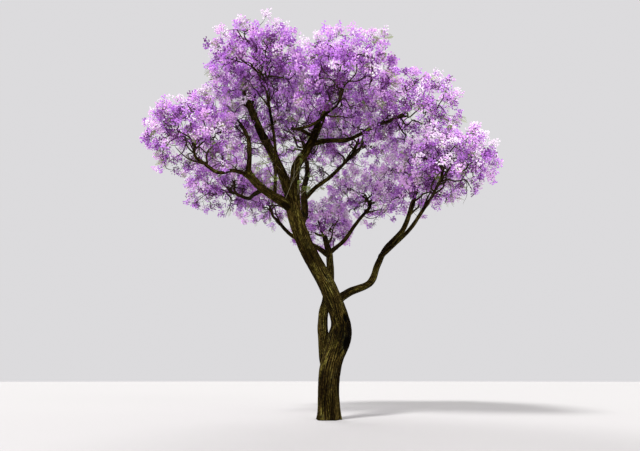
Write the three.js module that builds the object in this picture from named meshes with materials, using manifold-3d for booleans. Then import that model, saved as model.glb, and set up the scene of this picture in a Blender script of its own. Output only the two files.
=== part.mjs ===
// Jacaranda tree in full blossom, a high forked crown on a leaning, bending trunk.
// Millimetres, +Z up. The origin is the middle of the flat cut at ground level.
// +X is to the right and -Y towards the viewer when the tree is seen from its front.
import * as THREE from 'three';
import { mergeVertices } from 'three/addons/utils/BufferGeometryUtils.js';
import Module from 'manifold-3d';

const wasm = await Module();
wasm.setup();

// Driving dimensions
const METRE = 1000;
const GAP = 0.3;
const TRUNK_FOOT_RADIUS = 0.465 * METRE;
const TRUNK_FORK_RADIUS = 0.34 * METRE;
const ROOT_FLARE = { reach: 0.10 * METRE, height: 0.45 * METRE, lobes: 5, even: 0.7, lobed: 0.5, turn: 0.6 };
const FLUTES = { count: 3, depth: 0.05 };
const LOW_FORK_SWELL = { height: 2.1 * METRE, size: 0.03 * METRE, spread: 0.5 * METRE };
const KNOT_SWELL = { height: 3.4 * METRE, size: 0.11 * METRE, spread: 0.6 * METRE };
const TRUNK_SIDES = 16;
const BOUGH_SIDES = 8;
const THIN_BRANCH_SIDES = 6;
const THIN_BRANCH_RADIUS = 0.13 * METRE;
const RING_SPACING = 0.6 * METRE;
const TRUNK_EXTRA_RINGS = 4;
const LEAST_RINGS = 5;
const BRANCH_COLLAR = { size: 0.3, reach: 1.3 };
const STEM_SIDES = 4;
const TWIG_SIDES = 3;
const WOOD_STEPS = 10;
const STEM = { toLimb: 0.9, toTwig: 0.55, onward: 0.3, towards: 0.65, swing: 0.15, wobble: 0.3 };
const FORKS = {
  count: 6, reach: 0.56, highest: 0.9, lowest: -0.6, firstStart: 0.45, lastStart: 0.95, order: 3,
  wobble: 0.45, foot: 0.9, tip: 1.2,
};
const SPRAY = {
  length: 1.5 * METRE, width: 0.95 * METRE, thickness: 0.34 * METRE, widestAt: 0.6, sunk: 0.02,
};
const SPRAYS = { count: 22, outer: 0.98, inner: 0.72, innerEvery: 4, least: 0.4, step: 0.04 };
const SPRAY_SIZES = [1, 0.75, 0.5];
const SPRAY_ROLL_FROM = new THREE.Vector3(0.3, 0.2, 1);
const SIDE_TWIG = { radius: 0.028 * METRE, foot: 1.3, spare: 0.8, half: 0.5, nearEnd: 0.8 };
const FIRST_MASS_SEED = 40;
const LIMB_CLEARANCE = 0.03 * METRE;
const MASS_CLEARANCE = 0.015 * METRE;
const WELD = 1e-4;
const GOLDEN_ANGLE = Math.PI * (3 - Math.sqrt(5));

const at = (x, y, z) => new THREE.Vector3(x, y, z).multiplyScalar(METRE);

// Trunk: upright at the foot, bent to the right at head height, then leaning left to the fork
const TRUNK_ROUTE = [
  at(0, 0, 0), at(0.02, 0, 1.4), at(0.14, 0.06, 2.2), at(0.48, 0.19, 3.2), at(0.62, 0.25, 4.0),
  at(0.06, 0.02, 5.6), at(-0.97, -0.38, 7.5), at(-1.52, -0.62, 9.0), at(-1.68, -0.7, 9.75),
];

// Limbs in the order that they are cut clear of one another, each starting inside its parent
const LIMBS = [
  { name: 'bough_centre', radii: [0.26, 0.17],
    route: [at(-1.6, -0.66, 9.35), at(-2.2, -0.88, 11.2), at(-2.78, -1.0, 12.4), at(-3.4, -1.05, 13.6),
      at(-3.95, -1.12, 14.95)] },
  { name: 'bough_right_up', radii: [0.25, 0.18],
    route: [at(-1.52, -0.62, 9.2), at(-1.6, -0.85, 10.7), at(-1.5, -1.05, 11.5), at(-0.95, -1.5, 12.2),
      at(-0.4, -1.9, 13.3), at(-0.12, -2.15, 14.05)] },
  { name: 'bough_left', radii: [0.24, 0.17],
    route: [at(-1.45, -0.6, 9.2), at(-2.15, -0.9, 9.72), at(-2.85, -1.28, 10.06), at(-3.45, -1.65, 10.5),
      at(-3.8, -1.9, 10.85)] },
  { name: 'bough_back', radii: [0.2, 0.12],
    route: [at(-1.3, -0.5, 8.75), at(-1.15, 0.35, 9.6), at(-1.25, 1.2, 11.3), at(-1.1, 2.0, 12.7),
      at(-1.2, 2.3, 13.8)] },
  { name: 'branch_middle', radii: [0.12, 0.09],
    route: [at(-1.25, 0.8, 10.5), at(-0.6, 0.95, 11.3), at(0.2, 1.1, 12.0), at(1.0, 1.4, 13.0)] },
  { name: 'bough_rear', radii: [0.27, 0.16],
    route: [at(0.02, 0.1, 1.75), at(-0.16, 0.5, 2.9), at(-0.22, 0.9, 4.4), at(0.14, 1.7, 6.4),
      at(0.1, 2.7, 8.1), at(-0.05, 3.6, 9.0)] },
  { name: 'bough_rear_left', radii: [0.14, 0.09],
    route: [at(0.1, 2.7, 8.0), at(-0.7, 3.2, 8.7), at(-2.0, 3.5, 9.4), at(-2.9, 4.1, 10.5)] },
  { name: 'bough_rear_right', radii: [0.12, 0.09],
    route: [at(0.12, 2.8, 8.2), at(0.95, 3.1, 9.0), at(1.7, 3.6, 10.2), at(2.4, 4.1, 11.2)] },
  { name: 'bough_right', radii: [0.19, 0.11],
    route: [at(0.4, 0.1, 5.1), at(1.05, 0.4, 5.55), at(2.1, 0.75, 6.1), at(2.5, 0.9, 7.0),
      at(3.0, 0.95, 7.9), at(3.9, 1.0, 8.9), at(4.4, 1.3, 10.0)] },
  { name: 'branch_right_low', radii: [0.12, 0.08],
    route: [at(2.6, 0.92, 7.4), at(3.2, 0.2, 7.8), at(3.9, -0.9, 8.3), at(4.5, -1.7, 9.1)] },
  { name: 'branch_right_high', radii: [0.13, 0.08],
    route: [at(-0.8, -1.62, 12.45), at(0.0, -1.4, 12.75), at(1.0, -1.3, 12.85), at(2.1, -1.5, 13.3)] },
  { name: 'branch_left_up', radii: [0.12, 0.09],
    route: [at(-3.72, -1.85, 10.75), at(-3.74, -1.6, 11.6), at(-3.85, -1.4, 12.7), at(-4.2, -1.15, 13.6),
      at(-4.75, -0.85, 14.4)] },
  { name: 'branch_left_out', radii: [0.1, 0.07],
    route: [at(-3.65, -1.8, 10.7), at(-4.35, -2.2, 10.75), at(-5.0, -2.3, 10.6), at(-5.7, -2.6, 11.0)] },
  { name: 'branch_left_back', radii: [0.11, 0.08],
    route: [at(-3.0, -1.36, 10.18), at(-3.6, -0.5, 10.3), at(-4.1, 0.5, 10.5), at(-4.9, 1.3, 11.1)] },
  { name: 'branch_slender', radii: [0.08, 0.06],
    route: [at(-2.5, -1.1, 9.9), at(-2.46, -1.6, 11.0), at(-2.42, -2.4, 12.0), at(-2.6, -3.6, 13.3)] },
  { name: 'branch_crook', radii: [0.085, 0.055],
    route: [at(-0.66, -1.7, 12.8), at(-1.2, -2.05, 12.95), at(-1.6, -2.55, 12.75), at(-1.35, -3.15, 12.35),
      at(-0.6, -3.6, 12.3), at(0.1, -4.1, 12.6)] },
];

// Masses of blossom: the limb that carries each, the middle of its own space and its share of the full size
const MASS_HALF_SIZE = at(2.9, 2.9, 2.1);
const MASSES = [
  { name: 'blossom_top_left', limb: 'branch_left_up', centre: at(-5.6, 0.3, 14.7), size: 0.95 },
  { name: 'blossom_top_centre', limb: 'bough_centre', centre: at(-3.4, -1.5, 15.8), size: 0.9 },
  { name: 'blossom_top_right', limb: 'bough_right_up', centre: at(0.4, -2.2, 15.3), size: 0.95 },
  { name: 'blossom_top_back', limb: 'bough_back', centre: at(-1.6, 2.2, 15.3), size: 1 },
  { name: 'blossom_top_middle', limb: 'branch_middle', centre: at(1.9, 1.5, 14.6), size: 0.95 },
  { name: 'blossom_left', limb: 'branch_left_out', centre: at(-6.1, -2.8, 12.0), size: 0.85 },
  { name: 'blossom_left_back', limb: 'branch_left_back', centre: at(-5.7, 2.6, 12.0), size: 0.9 },
  { name: 'blossom_front', limb: 'branch_slender', centre: at(-2.9, -4.8, 14.5), size: 0.8 },
  { name: 'blossom_front_right', limb: 'branch_crook', centre: at(0.8, -5.1, 13.5), size: 0.85 },
  { name: 'blossom_right_high', limb: 'branch_right_high', centre: at(3.8, -2.4, 13.5), size: 0.9 },
  { name: 'blossom_right', limb: 'bough_right', centre: at(4.9, 1.7, 11.9), size: 0.92 },
  { name: 'blossom_right_low', limb: 'branch_right_low', centre: at(5.3, -2.8, 10.6), size: 0.8 },
  { name: 'blossom_back_right', limb: 'bough_rear_right', centre: at(2.4, 4.8, 12.4), size: 0.92 },
  { name: 'blossom_back', limb: 'bough_rear', centre: at(-0.3, 5.6, 10.6), size: 0.8 },
  { name: 'blossom_back_left', limb: 'bough_rear_left', centre: at(-3.7, 5.0, 12.3), size: 0.92 },
];

// Seeded random numbers between 0 and 1
function seededRandom(seed) {
  let state = seed >>> 0;
  return () => {
    state = (state + 0x6d2b79f5) >>> 0;
    let mixed = Math.imul(state ^ (state >>> 15), 1 | state);
    mixed = (mixed + Math.imul(mixed ^ (mixed >>> 7), 61 | mixed)) ^ mixed;
    return ((mixed ^ (mixed >>> 14)) >>> 0) / 4294967296;
  };
}

// Ring by ring skin along a curve, closed by a flat fan at each end, with both ends moved out by extra
function sweptGeometry(curve, rings, sides, radiusAt, extra = 0) {
  const frames = curve.computeFrenetFrames(rings, false);
  const positions = [];
  for (let ring = 0; ring <= rings; ring += 1) {
    const middle = curve.getPointAt(ring / rings);
    const outward = Number(ring === rings) - Number(ring === 0);
    middle.addScaledVector(frames.tangents[ring], outward * extra);
    for (let side = 0; side < sides; side += 1) {
      const angle = (side / sides) * 2 * Math.PI;
      const radius = radiusAt(ring / rings, angle, middle);
      const point = middle.clone()
        .addScaledVector(frames.normals[ring], Math.cos(angle) * radius)
        .addScaledVector(frames.binormals[ring], Math.sin(angle) * radius);
      positions.push(point.x, point.y, point.z);
    }
  }
  const indices = [];
  for (let ring = 0; ring < rings; ring += 1) {
    for (let side = 0; side < sides; side += 1) {
      const here = ring * sides + side;
      const next = ring * sides + ((side + 1) % sides);
      indices.push(here, next, next + sides, here, next + sides, here + sides);
    }
  }
  const last = rings * sides;
  for (let side = 1; side < sides - 1; side += 1) {
    indices.push(0, side + 1, side);
    indices.push(last, last + side, last + side + 1);
  }
  const geometry = new THREE.BufferGeometry();
  geometry.setAttribute('position', new THREE.Float32BufferAttribute(positions, 3));
  geometry.setIndex(indices);
  return geometry;
}

function solidOf(geometry) {
  const merged = mergeVertices(geometry, WELD);
  return new wasm.Manifold(new wasm.Mesh({
    numProp: 3,
    vertProperties: new Float32Array(merged.attributes.position.array),
    triVerts: new Uint32Array(merged.index.array),
  }));
}

// A cut can leave loose scraps, so only the largest piece is kept
function largestPiece(solid) {
  const pieces = solid.decompose();
  return pieces.reduce((best, piece) => (piece.volume() > best.volume() ? piece : best));
}

function meshOf(name, solid, material) {
  const result = solid.getMesh();
  const geometry = new THREE.BufferGeometry();
  geometry.setAttribute('position', new THREE.BufferAttribute(new Float32Array(result.vertProperties), 3));
  geometry.setIndex(new THREE.BufferAttribute(new Uint32Array(result.triVerts), 1));
  geometry.computeVertexNormals();
  const mesh = new THREE.Mesh(geometry, material);
  mesh.name = name;
  return mesh;
}

// Trunk radius: an even taper, the root flare with its lobes, two swellings and shallow flutes
function trunkRadius(extra) {
  const top = TRUNK_ROUTE[TRUNK_ROUTE.length - 1].z;
  const swell = (height, part) => part.size * Math.exp(-(((height - part.height) / part.spread) ** 2));
  return (along, angle, middle) => {
    const height = middle.z;
    const taper = THREE.MathUtils.lerp(TRUNK_FOOT_RADIUS, TRUNK_FORK_RADIUS, height / top);
    const flare = ROOT_FLARE.reach * Math.exp(-height / ROOT_FLARE.height);
    const lobe = ROOT_FLARE.even + ROOT_FLARE.lobed * Math.cos(ROOT_FLARE.lobes * angle + ROOT_FLARE.turn);
    const flute = 1 + FLUTES.depth * Math.sin(FLUTES.count * angle + height / METRE);
    return taper * flute + flare * lobe + swell(height, LOW_FORK_SWELL) + swell(height, KNOT_SWELL) + extra;
  };
}

function trunkSolid(extra) {
  const curve = new THREE.CatmullRomCurve3(TRUNK_ROUTE, false, 'centripetal');
  const rings = Math.round(curve.getLength() / RING_SPACING) + TRUNK_EXTRA_RINGS;
  const geometry = sweptGeometry(curve, rings, TRUNK_SIDES, trunkRadius(extra), extra);
  const position = geometry.attributes.position;
  for (let side = 0; side < TRUNK_SIDES; side += 1) {
    position.setZ(side, -extra);
  }
  return solidOf(geometry);
}

// Limb radius: an even taper with a collar where the limb leaves its parent
function limbRadius(limb, length, extra) {
  const [foot, tip] = limb.radii.map((radius) => radius * METRE);
  return (along) => {
    const collar = BRANCH_COLLAR.size * Math.exp((-along * length) / (BRANCH_COLLAR.reach * 2 * foot));
    return THREE.MathUtils.lerp(foot, tip, along) * (1 + collar) + extra;
  };
}

function limbSolid(limb, extra) {
  const length = limb.curve.getLength();
  const rings = Math.max(LEAST_RINGS, Math.round(length / RING_SPACING));
  const thin = limb.radii[0] * METRE < THIN_BRANCH_RADIUS;
  const sides = thin ? THIN_BRANCH_SIDES : BOUGH_SIDES;
  return solidOf(sweptGeometry(limb.curve, rings, sides, limbRadius(limb, length, extra), extra));
}

// Short straight pieces down each limb, which twigs and sprays are kept clear of
function limbPieces() {
  const pieces = [];
  const add = (curve, radiusAt) => {
    const steps = Math.round(curve.getLength() / (0.5 * RING_SPACING));
    for (let step = 0; step < steps; step += 1) {
      const start = curve.getPointAt(step / steps);
      const end = curve.getPointAt((step + 1) / steps);
      const radius = radiusAt(step / steps, 0, start);
      pieces.push({ start, end, radius });
    }
  };
  add(new THREE.CatmullRomCurve3(TRUNK_ROUTE, false, 'centripetal'), trunkRadius(0));
  LIMBS.forEach((limb) => add(limb.curve, limbRadius(limb, limb.curve.getLength(), 0)));
  return pieces;
}

function segmentDistance(start, end, otherStart, otherEnd) {
  const steps = 6;
  const line = new THREE.Line3(otherStart, otherEnd);
  const point = new THREE.Vector3();
  const closest = new THREE.Vector3();
  let best = Infinity;
  for (let step = 0; step <= steps; step += 1) {
    point.lerpVectors(start, end, step / steps);
    line.closestPointToPoint(point, true, closest);
    best = Math.min(best, point.distanceTo(closest));
  }
  return best;
}

// The space of a mass: its ellipsoid, cut by a plane towards each neighbour
function spaceOf(mass) {
  const planes = MASSES.filter((other) => other !== mass).map((other) => {
    const towards = other.centre.clone().sub(mass.centre).normalize();
    const reach = (item) => towards.clone().multiply(item.half).length();
    const share = reach(mass) / (reach(mass) + reach(other));
    const point = mass.centre.clone().lerp(other.centre, share).addScaledVector(towards, -MASS_CLEARANCE);
    return new THREE.Plane().setFromNormalAndCoplanarPoint(towards, point);
  });
  const contains = (point) => {
    const scaled = point.clone().sub(mass.centre).divide(mass.half);
    return scaled.length() <= 1 && planes.every((plane) => plane.distanceToPoint(point) < 0);
  };
  return { contains };
}

// Unit vector with the given height, turned by angle round the upright
function directionAt(height, angle) {
  const ring = Math.sqrt(1 - height * height);
  return new THREE.Vector3(ring * Math.cos(angle), ring * Math.sin(angle), height);
}

// Points spread evenly over the mass's space, most of them near its outside
function sprayTargets(mass, space, random) {
  const targets = [];
  const turn = random() * 2 * Math.PI;
  for (let index = 0; index < SPRAYS.count; index += 1) {
    const height = 1 - (2 * (index + 0.5)) / SPRAYS.count;
    const outward = directionAt(height, turn + index * GOLDEN_ANGLE).multiply(mass.half);
    let depth = (index + 1) % SPRAYS.innerEvery === 0 ? SPRAYS.inner : SPRAYS.outer;
    while (!space.contains(outward.clone().multiplyScalar(depth).add(mass.centre)) && depth > SPRAYS.least) {
      depth -= SPRAYS.step;
    }
    targets.push(outward.multiplyScalar(depth).add(mass.centre));
  }
  return targets;
}

function twigSolid(points, startRadius, endRadius) {
  const curve = new THREE.CatmullRomCurve3(points, false, 'centripetal');
  const radiusAt = (along) => THREE.MathUtils.lerp(startRadius, endRadius, along);
  return solidOf(sweptGeometry(curve, points.length - 1, TWIG_SIDES, radiusAt));
}

// Spray of blossom: root and tip on its line, four corners round its widest place
function sprayPoints(root, tip, roll, fullness) {
  const along = tip.clone().sub(root);
  const size = (fullness * along.length()) / SPRAY.length;
  const across = SPRAY_ROLL_FROM.clone().cross(along).normalize();
  across.applyAxisAngle(along.clone().normalize(), roll);
  const up = along.clone().normalize().cross(across);
  const middle = root.clone().addScaledVector(along, SPRAY.widestAt);
  const corner = (direction, reach) => middle.clone().addScaledVector(direction, reach * size);
  return [root, corner(across, SPRAY.width / 2), corner(up, SPRAY.thickness / 2),
    corner(across, -SPRAY.width / 2), corner(up, -SPRAY.thickness / 2), tip];
}

function spraySolid(points) {
  const geometry = new THREE.BufferGeometry().setFromPoints(points);
  const indices = [];
  for (let side = 1; side <= 4; side += 1) {
    const next = (side % 4) + 1;
    indices.push(0, next, side, 5, side, next);
  }
  geometry.setIndex(indices);
  return solidOf(geometry);
}

// A point near the middle of a box of the given size in metres
function wobble(random, size) {
  return at(random() - 0.5, random() - 0.5, random() - 0.5).multiplyScalar(size);
}

// Stem of a mass: on from the limb's tip, a gap clear of it, and round to the middle of the mass
function growStem(mass, growth) {
  const { limb, random, solids, wood } = growth;
  const tip = limb.curve.getPointAt(1);
  const onward = limb.curve.getTangentAt(1);
  const length = tip.distanceTo(mass.centre);
  const route = [
    tip.clone().addScaledVector(onward, GAP),
    tip.clone().addScaledVector(onward, STEM.onward * length),
    tip.clone().lerp(mass.centre, STEM.towards).addScaledVector(onward, STEM.swing * length),
    mass.centre.clone().add(wobble(random, STEM.wobble)),
  ];
  growth.stemRadius = limb.radii[1] * METRE * STEM.toLimb;
  growth.stemTip = growth.stemRadius * STEM.toTwig;
  growth.stem = new THREE.CatmullRomCurve3(route, false, 'centripetal');
  const radiusAt = (along) => THREE.MathUtils.lerp(growth.stemRadius, growth.stemTip, along);
  solids.push(solidOf(sweptGeometry(growth.stem, route.length - 1, STEM_SIDES, radiusAt)));
  for (let step = WOOD_STEPS; step <= 2 * WOOD_STEPS; step += 1) {
    wood.push(growth.stem.getPointAt(step / (2 * WOOD_STEPS)));
  }
}

// Forks: bent twigs from the outer half of the stem to half way out, spaced round the mass
function growForks(mass, growth) {
  const { space, random, clear, solids, wood, stem, stemTip } = growth;
  const turn = random() * 2 * Math.PI;
  for (let index = 0; index < FORKS.count; index += 1) {
    const height = THREE.MathUtils.lerp(FORKS.highest, FORKS.lowest, (index + 0.5) / FORKS.count);
    const place = ((index * FORKS.order) % FORKS.count) / FORKS.count;
    const start = stem.getPointAt(THREE.MathUtils.lerp(FORKS.firstStart, FORKS.lastStart, place));
    const end = directionAt(height, turn + index * GOLDEN_ANGLE)
      .multiply(mass.half).multiplyScalar(FORKS.reach).add(mass.centre);
    const bend = start.clone().lerp(end, 0.5).add(wobble(random, FORKS.wobble));
    const inside = space.contains(bend) && space.contains(end);
    if (inside && clear(start, bend, stemTip) && clear(bend, end, stemTip)) {
      solids.push(twigSolid([start, bend, end], stemTip * FORKS.foot, SIDE_TWIG.radius * FORKS.tip));
      for (let step = 1; step <= WOOD_STEPS / 2; step += 1) {
        const share = step / (WOOD_STEPS / 2);
        wood.push(start.clone().lerp(bend, share), bend.clone().lerp(end, share));
      }
    }
  }
}

// Takes the nearest free place on the wood, and grows a side twig from it where that is too far off
function rootFor(target, growth) {
  const { space, clear, solids, wood } = growth;
  const nearest = wood.reduce((best, point) => (
    point.distanceTo(target) < best.distanceTo(target) ? point : best));
  wood.splice(wood.indexOf(nearest), 1);
  const distance = nearest.distanceTo(target);
  if (distance <= SPRAY.length) {
    return nearest;
  }
  const join = target.clone().lerp(nearest, (SIDE_TWIG.spare * SPRAY.length) / distance);
  if (!space.contains(join) || !clear(nearest, join, SIDE_TWIG.radius)) {
    return nearest;
  }
  solids.push(twigSolid([nearest, join], SIDE_TWIG.radius * SIDE_TWIG.foot, SIDE_TWIG.radius));
  wood.push(nearest.clone().lerp(join, SIDE_TWIG.half), nearest.clone().lerp(join, SIDE_TWIG.nearEnd));
  return join;
}

// Sprays: each as full as its space lets it be, its root sunk in the wood
function growSprays(mass, growth) {
  const { space, random, clear, solids } = growth;
  for (const target of sprayTargets(mass, space, random)) {
    const root = rootFor(target, growth).clone().lerp(target, -SPRAY.sunk);
    const roll = random() * Math.PI;
    const points = SPRAY_SIZES
      .map((fullness) => sprayPoints(root, target, roll, fullness))
      .find((corners) => corners.slice(1).every((point) => space.contains(point)));
    if (points && clear(root, target, SPRAY.thickness)) {
      solids.push(spraySolid(points));
    }
  }
}

function massSolid(mass, seed, obstacles) {
  const clear = (start, end, girth) => obstacles.every((piece) => (
    segmentDistance(start, end, piece.start, piece.end) > piece.radius + girth + LIMB_CLEARANCE));
  const growth = {
    limb: LIMBS.find((item) => item.name === mass.limb),
    space: spaceOf(mass),
    random: seededRandom(seed),
    clear,
    solids: [],
    wood: [],
  };
  growStem(mass, growth);
  growForks(mass, growth);
  growSprays(mass, growth);
  return largestPiece(wasm.Manifold.union(growth.solids));
}

const bark = () => new THREE.MeshStandardMaterial({ color: 0x3a2f18, roughness: 0.95, metalness: 0 });
const blossom = () => new THREE.MeshStandardMaterial({ color: 0xb070dc, roughness: 0.7, metalness: 0 });

const tree = new THREE.Group();
LIMBS.forEach((limb) => {
  limb.curve = new THREE.CatmullRomCurve3(limb.route, false, 'centripetal');
});
MASSES.forEach((mass) => {
  mass.half = MASS_HALF_SIZE.clone().multiplyScalar(mass.size);
});

tree.add(meshOf('trunk', trunkSolid(0), bark()));
let taken = trunkSolid(GAP);
for (const limb of LIMBS) {
  const solid = largestPiece(limbSolid(limb, 0).subtract(taken));
  tree.add(meshOf(limb.name, solid, bark()));
  taken = taken.add(limbSolid(limb, GAP));
}

const obstacles = limbPieces();
MASSES.forEach((mass, index) => {
  tree.add(meshOf(mass.name, massSolid(mass, FIRST_MASS_SEED + index, obstacles), blossom()));
});

export default tree;
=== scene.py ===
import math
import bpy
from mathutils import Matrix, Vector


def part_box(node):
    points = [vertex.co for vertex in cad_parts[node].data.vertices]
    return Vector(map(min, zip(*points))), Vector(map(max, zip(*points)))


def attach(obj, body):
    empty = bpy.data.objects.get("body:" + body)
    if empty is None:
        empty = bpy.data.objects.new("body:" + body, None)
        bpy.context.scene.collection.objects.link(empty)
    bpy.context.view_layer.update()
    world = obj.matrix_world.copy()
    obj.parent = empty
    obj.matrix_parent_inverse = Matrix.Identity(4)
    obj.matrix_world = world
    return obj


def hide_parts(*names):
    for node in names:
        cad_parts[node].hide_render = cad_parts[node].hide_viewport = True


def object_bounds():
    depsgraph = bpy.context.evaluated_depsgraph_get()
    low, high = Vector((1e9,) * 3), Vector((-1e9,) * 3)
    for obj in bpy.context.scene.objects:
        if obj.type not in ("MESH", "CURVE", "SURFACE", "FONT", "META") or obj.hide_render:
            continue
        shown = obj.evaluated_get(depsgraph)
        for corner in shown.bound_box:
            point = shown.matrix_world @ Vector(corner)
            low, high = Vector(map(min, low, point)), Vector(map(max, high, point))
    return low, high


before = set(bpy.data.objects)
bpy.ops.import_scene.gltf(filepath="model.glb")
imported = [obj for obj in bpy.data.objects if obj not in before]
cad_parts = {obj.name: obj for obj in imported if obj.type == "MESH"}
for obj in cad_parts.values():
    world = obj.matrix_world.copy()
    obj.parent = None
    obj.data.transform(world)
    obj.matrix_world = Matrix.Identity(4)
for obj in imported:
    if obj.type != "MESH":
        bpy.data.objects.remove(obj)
cad_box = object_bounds()

# Jacaranda tree in full violet blossom, in metres, +Z up, with its front towards -Y.
# Bark with real relief replaces the trunk and limbs. Twigs, flowers and young leaves grow on from the limbs.
from types import SimpleNamespace as Sizes
import bpy
import numpy as np
from numpy.linalg import norm

BODY = "root"
GOLDEN_ANGLE = math.pi * (3 - math.sqrt(5))
TURN = 2 * math.pi
UP = np.array((0.0, 0.0, 1.0))
BACK = (0.0, 1.0, 0.0)
TINY = 1e-9
NEARLY_ALONG = 0.9
CURVE_STEPS = 40
LEAST_POINTS = 3
NOISE_ROWS = 512
SEEDS = Sizes(stems=7, trunk=11, folds=21, limbs=30, per_limb=7, crown=2026)

# Camera: at eye height in front of the tree, turned up until the whole crown is in the picture
PICTURE_WIDTH = 640
CAMERA_PLACE = (0.0, -20.33, 1.6)
CAMERA_PITCH = math.radians(19.5)
CAMERA_YAW = math.radians(1.0)
CAMERA_FOCAL_PIXELS = 436
CAMERA_REACH = 1500
SENSOR_WIDTH = 36.0

# Trunk: upright at the foot, bent to the right at head height, then leaning left to the fork
TRUNK_FOOT_RADIUS = 0.465
TRUNK_FORK_RADIUS = 0.34
ROOT_FLARE = Sizes(reach=0.1, height=0.45, lobes=5, even=0.7, lobed=0.5, turn=0.6)
FLUTES = Sizes(count=3, depth=0.05)
LOW_FORK_SWELL = Sizes(height=2.1, size=0.03, spread=0.5)
KNOT_SWELL = Sizes(height=3.4, size=0.11, spread=0.6)
TRUNK_ROUTE = [
    (0, 0, 0), (0.02, 0, 1.4), (0.14, 0.06, 2.2), (0.48, 0.19, 3.2), (0.62, 0.25, 4.0),
    (0.06, 0.02, 5.6), (-0.97, -0.38, 7.5), (-1.52, -0.62, 9.0), (-1.68, -0.7, 9.75),
]

# Healed branch scars: a raised rim round a hollow, facing some degrees from +X, and taller than wide. Each
# hollow also darkens the bark as painted shade; the first, wide and shallow, is mostly painted shade over the
# front of the swelling.
SCARS = [
    # Mostly painted shade over the front of the swelling, with a low rim and a shallow hollow
    Sizes(height=3.55, facing=-62, size=0.42, tall=1.8, rim=0.012, hollow=0.045),
    Sizes(height=4.25, facing=-58, size=0.15, tall=1.5, rim=0.045, hollow=0.085),
    Sizes(height=3.2, facing=-48, size=0.15, tall=2.2, rim=0.05, hollow=0.06),
    Sizes(height=2.75, facing=-70, size=0.15, tall=1.5, rim=0.03, hollow=0.02),
    Sizes(height=6.6, facing=-120, size=0.13, tall=1.3, rim=0.035, hollow=0.012),
    Sizes(height=1.1, facing=-115, size=0.14, tall=1.4, rim=0.025, hollow=0.01),
    Sizes(height=7.6, facing=70, size=0.13, tall=1.2, rim=0.035, hollow=0.03),
    Sizes(height=2.7, facing=150, size=0.14, tall=1.5, rim=0.035, hollow=0.03),
]
SCAR_RIM_WIDTH = 0.45
SCAR_HOLLOW = Sizes(narrow=1.25, steep=4)
# Painted shade: how much the bark darkens in a hollow, for each metre of its depth
HOLLOW_SHADE = 9

# Limbs: radius at the foot and tip, and the route from inside the parent to the mass that each carries
BRANCH_COLLAR = Sizes(size=0.3, reach=1.3)
LIMB_FOOT = Sizes(reach=1.3, narrow=0.55, widening=0.45)
LIMBS = {
    "bough_centre": ((0.26, 0.17), [
        (-1.6, -0.66, 9.35), (-2.2, -0.88, 11.2), (-2.78, -1.0, 12.4), (-3.4, -1.05, 13.6),
        (-3.95, -1.12, 14.95)]),
    "bough_right_up": ((0.25, 0.18), [
        (-1.52, -0.62, 9.2), (-1.6, -0.85, 10.7), (-1.5, -1.05, 11.5), (-0.95, -1.5, 12.2),
        (-0.4, -1.9, 13.3), (-0.12, -2.15, 14.05)]),
    "bough_left": ((0.24, 0.17), [
        (-1.45, -0.6, 9.2), (-2.15, -0.9, 9.72), (-2.85, -1.28, 10.06), (-3.45, -1.65, 10.5),
        (-3.8, -1.9, 10.85)]),
    "bough_back": ((0.2, 0.12), [
        (-1.3, -0.5, 8.75), (-1.15, 0.35, 9.6), (-1.25, 1.2, 11.3), (-1.1, 2.0, 12.7), (-1.2, 2.3, 13.8)]),
    "branch_middle": ((0.12, 0.09), [
        (-1.25, 0.8, 10.5), (-0.6, 0.95, 11.3), (0.2, 1.1, 12.0), (1.0, 1.4, 13.0)]),
    "bough_rear": ((0.27, 0.16), [
        (0.02, 0.1, 1.75), (-0.16, 0.5, 2.9), (-0.22, 0.9, 4.4), (0.14, 1.7, 6.4), (0.1, 2.7, 8.1),
        (-0.05, 3.6, 9.0)]),
    "bough_rear_left": ((0.14, 0.09), [
        (0.1, 2.7, 8.0), (-0.7, 3.2, 8.7), (-2.0, 3.5, 9.4), (-2.9, 4.1, 10.5)]),
    "bough_rear_right": ((0.12, 0.09), [
        (0.12, 2.8, 8.2), (0.95, 3.1, 9.0), (1.7, 3.6, 10.2), (2.4, 4.1, 11.2)]),
    "bough_right": ((0.19, 0.11), [
        (0.4, 0.1, 5.1), (1.05, 0.4, 5.55), (2.1, 0.75, 6.1), (2.5, 0.9, 7.0), (3.0, 0.95, 7.9),
        (3.9, 1.0, 8.9), (4.4, 1.3, 10.0)]),
    "branch_right_low": ((0.12, 0.08), [
        (2.6, 0.92, 7.4), (3.2, 0.2, 7.8), (3.9, -0.9, 8.3), (4.5, -1.7, 9.1)]),
    "branch_right_high": ((0.13, 0.08), [
        (-0.8, -1.62, 12.45), (0.0, -1.4, 12.75), (1.0, -1.3, 12.85), (2.1, -1.5, 13.3)]),
    "branch_left_up": ((0.12, 0.09), [
        (-3.72, -1.85, 10.75), (-3.74, -1.6, 11.6), (-3.85, -1.4, 12.7), (-4.2, -1.15, 13.6),
        (-4.75, -0.85, 14.4)]),
    "branch_left_out": ((0.1, 0.07), [
        (-3.65, -1.8, 10.7), (-4.35, -2.2, 10.75), (-5.0, -2.3, 10.6), (-5.7, -2.6, 11.0)]),
    "branch_left_back": ((0.11, 0.08), [
        (-3.0, -1.36, 10.18), (-3.6, -0.5, 10.3), (-4.1, 0.5, 10.5), (-4.9, 1.3, 11.1)]),
    "branch_slender": ((0.08, 0.06), [
        (-2.5, -1.1, 9.9), (-2.46, -1.6, 11.0), (-2.42, -2.4, 12.0), (-2.6, -3.6, 13.3)]),
    "branch_crook": ((0.085, 0.055), [
        (-0.66, -1.7, 12.8), (-1.2, -2.05, 12.95), (-1.6, -2.55, 12.75), (-1.35, -3.15, 12.35),
        (-0.6, -3.6, 12.3), (0.1, -4.1, 12.6)]),
}

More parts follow.
